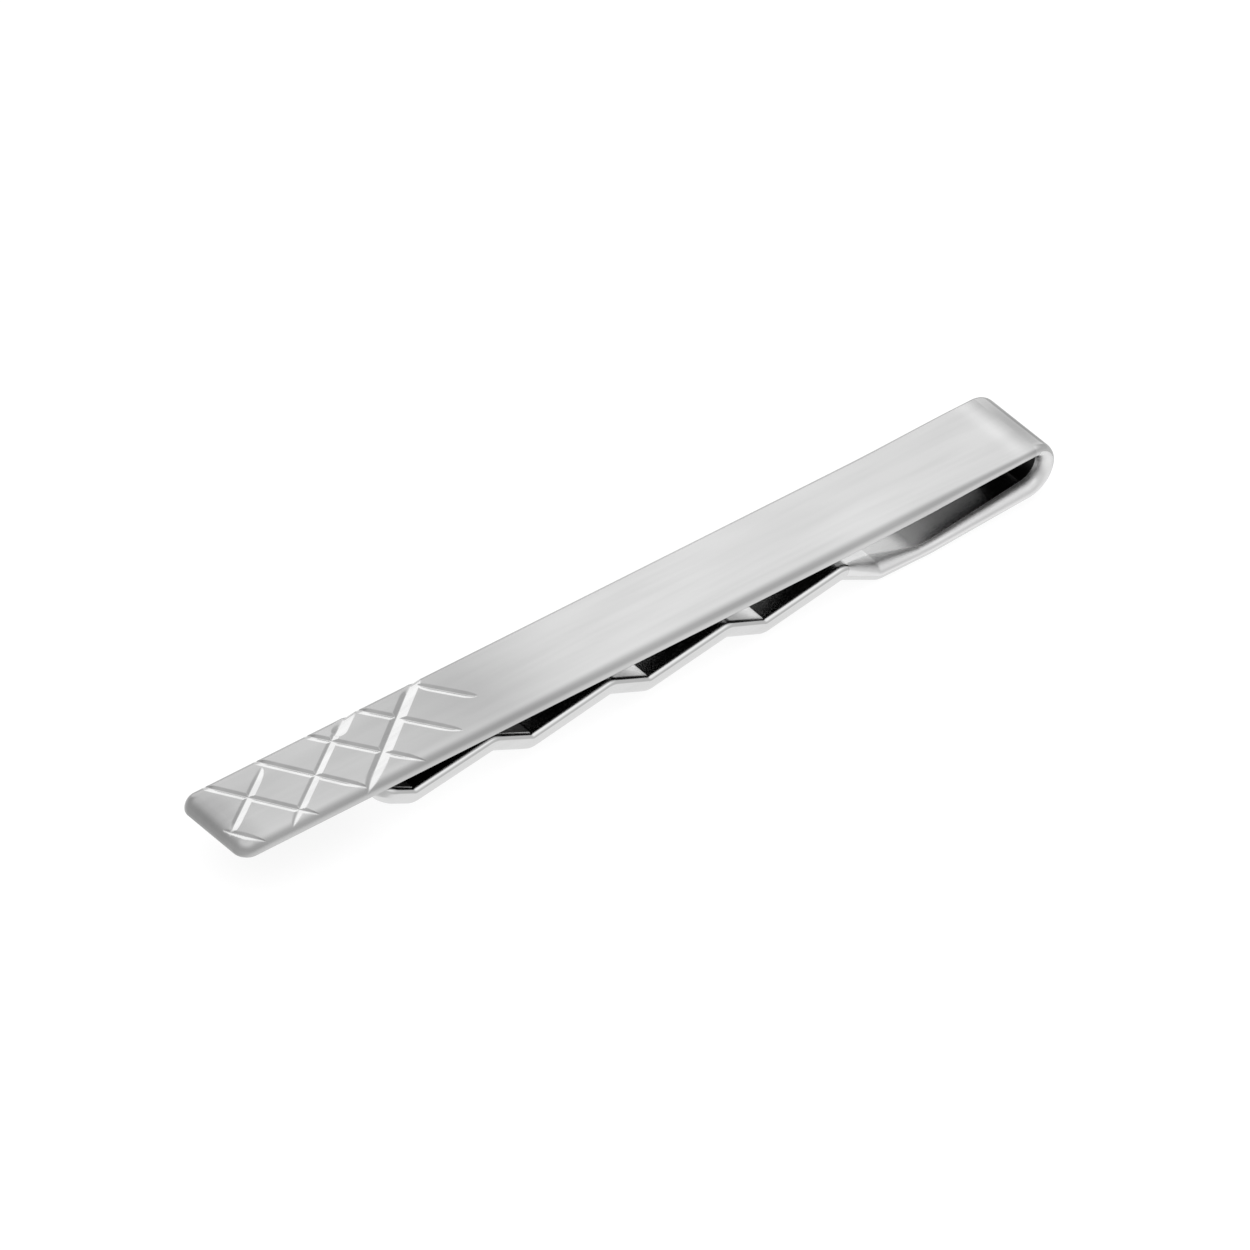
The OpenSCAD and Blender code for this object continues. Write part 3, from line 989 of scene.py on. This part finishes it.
def white_paper():
    """Matt white paper: what is seen of it is white, less a part of any shadow that falls on it. In
    the steel it greys with its distance from the clip, because only the paper by the clip is
    lit."""
    material = bpy.data.materials.new("Matt white paper")
    material.use_nodes = True
    tree = material.node_tree
    tree.nodes.clear()
    path = add_node(tree, "ShaderNodeLightPath")
    glow = add_node(
        tree, "ShaderNodeEmission", None, {"Color": linear("FFFFFF"), "Strength": PAPER_GLOW})
    lit = add_node(tree, "ShaderNodeBsdfDiffuse", None, {"Color": linear(PAPER_LIT)})
    paper = add_node(tree, "ShaderNodeAddShader", None, {0: glow.outputs[0], 1: lit.outputs[0]})
    plain = add_node(tree, "ShaderNodeBsdfDiffuse", None, {"Color": linear(PAPER_PLAIN)})

    place = add_node(tree, "ShaderNodeTexCoord").outputs["Object"]
    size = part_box("front_bar")[1]
    folded = add_node(tree, "ShaderNodeVectorMath", {"operation": "ABSOLUTE"}, {0: place})
    past = add_node(
        tree, "ShaderNodeVectorMath", {"operation": "SUBTRACT"},
        {0: folded.outputs[0], 1: (size.x, size.y, 0)})
    beyond = add_node(
        tree, "ShaderNodeVectorMath", {"operation": "MAXIMUM"}, {0: past.outputs[0], 1: (0, 0, 0)})
    scaled = add_node(
        tree, "ShaderNodeVectorMath", {"operation": "MULTIPLY"},
        {0: beyond.outputs[0], 1: (PAPER_ENDS, 1, 0)})
    far = add_node(tree, "ShaderNodeVectorMath", {"operation": "LENGTH"}, {0: scaled.outputs[0]})
    tone = add_node(
        tree, "ShaderNodeMapRange", None,
        {"Value": far.outputs["Value"], "From Min": PAPER_NEAR, "From Max": PAPER_FAR,
         "To Min": PAPER_TONE, "To Max": ROOM_TONE})
    mirrored = add_node(
        tree, "ShaderNodeEmission", None,
        {"Color": linear("FFFFFF"), "Strength": tone.outputs["Result"]})

    unseen = add_node(
        tree, "ShaderNodeMixShader", None,
        {0: path.outputs["Is Glossy Ray"], 1: plain.outputs[0], 2: mirrored.outputs[0]})
    surface = add_node(
        tree, "ShaderNodeMixShader", None,
        {0: path.outputs["Is Camera Ray"], 1: unseen.outputs[0], 2: paper.outputs[0]})
    add_node(tree, "ShaderNodeOutputMaterial", None, {"Surface": surface.outputs[0]})
    return material


def make_floor(half):
    """A level square of paper, which reaches this far to each side."""
    mesh = bpy.data.meshes.new("floor")
    side = np.array([-half, half])
    x, y = np.meshgrid(side, side, indexing="ij")
    points = np.dstack([x, y, np.zeros((2, 2))]).reshape(-1, 3)
    mesh.from_pydata(points.tolist(), [], [[0, 2, 3, 1]])
    mesh.materials.append(white_paper())
    floor = bpy.data.objects.new("floor", mesh)
    bpy.context.scene.collection.objects.link(floor)


# The room that the steel mirrors: tones by the sine of their height over the floor, and a white
# card far behind the clip, which covers this cone of directions and has a soft rim
ROOM_TONES = ((0.0, "C2C2C2"), (0.42, "C4C4C4"), (0.64, "DCDCDC"), (0.84, "FFFFFF"))
CARD_AZIMUTH, CARD_HEIGHT = math.radians(55), math.radians(20)
CARD_INNER, CARD_OUTER = math.radians(30), math.radians(38)


def make_world(scene):
    """Even white light from all round. In the steel the room is grey at its sides, with a white
    card far behind the clip."""
    world = bpy.data.worlds.new("White room")
    scene.world = world
    world.use_nodes = True
    tree = world.node_tree
    tree.nodes.clear()
    way = add_node(tree, "ShaderNodeTexCoord").outputs["Generated"]
    height = add_node(tree, "ShaderNodeSeparateXYZ", None, {0: way}).outputs["Z"]
    ramp = add_node(tree, "ShaderNodeValToRGB", None, {"Fac": height})
    fill_ramp(ramp, [(at, linear(code)) for at, code in ROOM_TONES])
    level = math.cos(CARD_HEIGHT)
    centre = (math.cos(CARD_AZIMUTH) * level, math.sin(CARD_AZIMUTH) * level, math.sin(CARD_HEIGHT))
    facing = add_node(
        tree, "ShaderNodeVectorMath", {"operation": "DOT_PRODUCT"}, {0: way, 1: centre})
    card = add_node(
        tree, "ShaderNodeMapRange", {"interpolation_type": "SMOOTHSTEP"},
        {"Value": facing.outputs["Value"], "From Min": math.cos(CARD_OUTER),
         "From Max": math.cos(CARD_INNER)})
    room = add_node(tree, "ShaderNodeBackground", None, {"Color": ramp.outputs["Color"]})
    white = add_node(tree, "ShaderNodeBackground", None, {"Color": linear("FFFFFF")})
    mirrored = add_node(
        tree, "ShaderNodeMixShader", None,
        {0: card.outputs["Result"], 1: room.outputs[0], 2: white.outputs[0]})
    path = add_node(tree, "ShaderNodeLightPath")
    surface = add_node(
        tree, "ShaderNodeMixShader", None,
        {0: path.outputs["Is Glossy Ray"], 1: white.outputs[0], 2: mirrored.outputs[0]})
    add_node(tree, "ShaderNodeOutputWorld", None, {"Surface": surface.outputs[0]})


# The picture's side in pixels, and where the middle of the bar's face falls in it
PICTURE = 1250
FACE_PIXEL = (622.2, 613.6)
# Width of the camera's sensor in millimetres, and the nearest and furthest that it sees, in metres
SENSOR = 36.0
NEAREST, FURTHEST = 0.1, 10.0


def make_camera(scene, settings):
    """A long lens that looks at the middle of the bar's face, with a small shift for framing."""
    a, e = settings.azimuth, settings.elevation
    back = Vector((math.sin(a) * math.cos(e), -math.cos(a) * math.cos(e), math.sin(e)))
    data = bpy.data.cameras.new("camera")
    camera = bpy.data.objects.new("camera", data)
    scene.collection.objects.link(camera)
    camera.location = Vector((0, 0, FACE_Z)) + back * settings.distance
    camera.rotation_euler = (-back).to_track_quat("-Z", "Y").to_euler()
    wide = PICTURE / settings.pixels_per_mm * MM
    data.sensor_width = SENSOR
    data.lens = SENSOR * settings.distance / wide
    data.shift_x = (PICTURE / 2 - FACE_PIXEL[0]) / PICTURE
    data.shift_y = (FACE_PIXEL[1] - PICTURE / 2) / PICTURE
    data.clip_start = NEAREST
    data.clip_end = FURTHEST
    scene.camera = camera


class TIECLIP_PT_panel(bpy.types.Panel):
    """Lists the clip's pieces, sizes and colours"""

    bl_idname = "TIECLIP_PT_panel"
    bl_label = "Tie clip"
    bl_space_type = "VIEW_3D"
    bl_region_type = "UI"
    bl_category = "Tie clip"

    def draw(self, context):
        for operator in OPERATORS:
            self.layout.operator(operator.bl_idname)
        for group_name, group_class in GROUPS.items():
            box = self.layout.box()
            for name in group_class.__annotations__:
                box.prop(getattr(context.scene, group_name), name)


GROUPS = {
    "clip_strip": StripSizes, "clip_engraving": EngravingSizes, "clip_colours": SteelColours,
    "clip_stage": StageSettings,
}
OPERATORS = (TIECLIP_OT_bar, TIECLIP_OT_fold, TIECLIP_OT_leg, TIECLIP_OT_stage)
CLASSES = (*GROUPS.values(), *OPERATORS, TIECLIP_PT_panel)


def register():
    """Registers the classes, and gives the scene its groups of sizes and colours."""
    for cls in CLASSES:
        bpy.utils.register_class(cls)
    for name, group in GROUPS.items():
        setattr(bpy.types.Scene, name, bpy.props.PointerProperty(type=group))


def unregister():
    """Takes back what register did."""
    for name in GROUPS:
        delattr(bpy.types.Scene, name)
    for cls in reversed(CLASSES):
        bpy.utils.unregister_class(cls)


def main():
    """Builds everything in order."""
    register()
    bpy.ops.tieclip.bar()
    bpy.ops.tieclip.fold()
    bpy.ops.tieclip.leg()
    bpy.ops.tieclip.stage()


if __name__ == "__main__":
    main()
